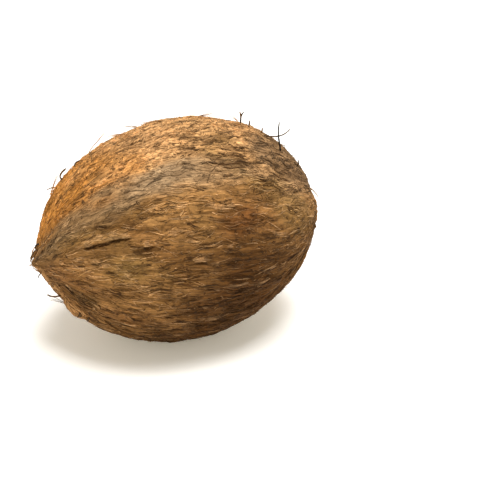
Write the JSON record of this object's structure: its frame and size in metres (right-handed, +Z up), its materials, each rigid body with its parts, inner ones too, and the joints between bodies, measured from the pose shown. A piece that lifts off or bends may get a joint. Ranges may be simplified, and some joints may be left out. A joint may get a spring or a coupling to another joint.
{
  "type": "coconut",
  "caption": "Whole mature coconut without its husk: an egg-shaped nut with a pointed tip, three low ridges, a brown coir coat, loose strands and three eyes, lying on its side",
  "frame": {"origin": "on the surface the nut rests on, in the middle of its small flat spot and under its weight", "axes": "+Z is up, +X runs along the nut towards its blunt end, and the pointed tip is at -X, leaning down a little"},
  "size_m": [0.1348, 0.1058, 0.1037],
  "materials": {
    "coir": "matt brown coir fibre, dry and rough, combed along the nut"
  },
  "bodies": {
    "root": {"coconut": "coir"}
  },
  "joints": []
}
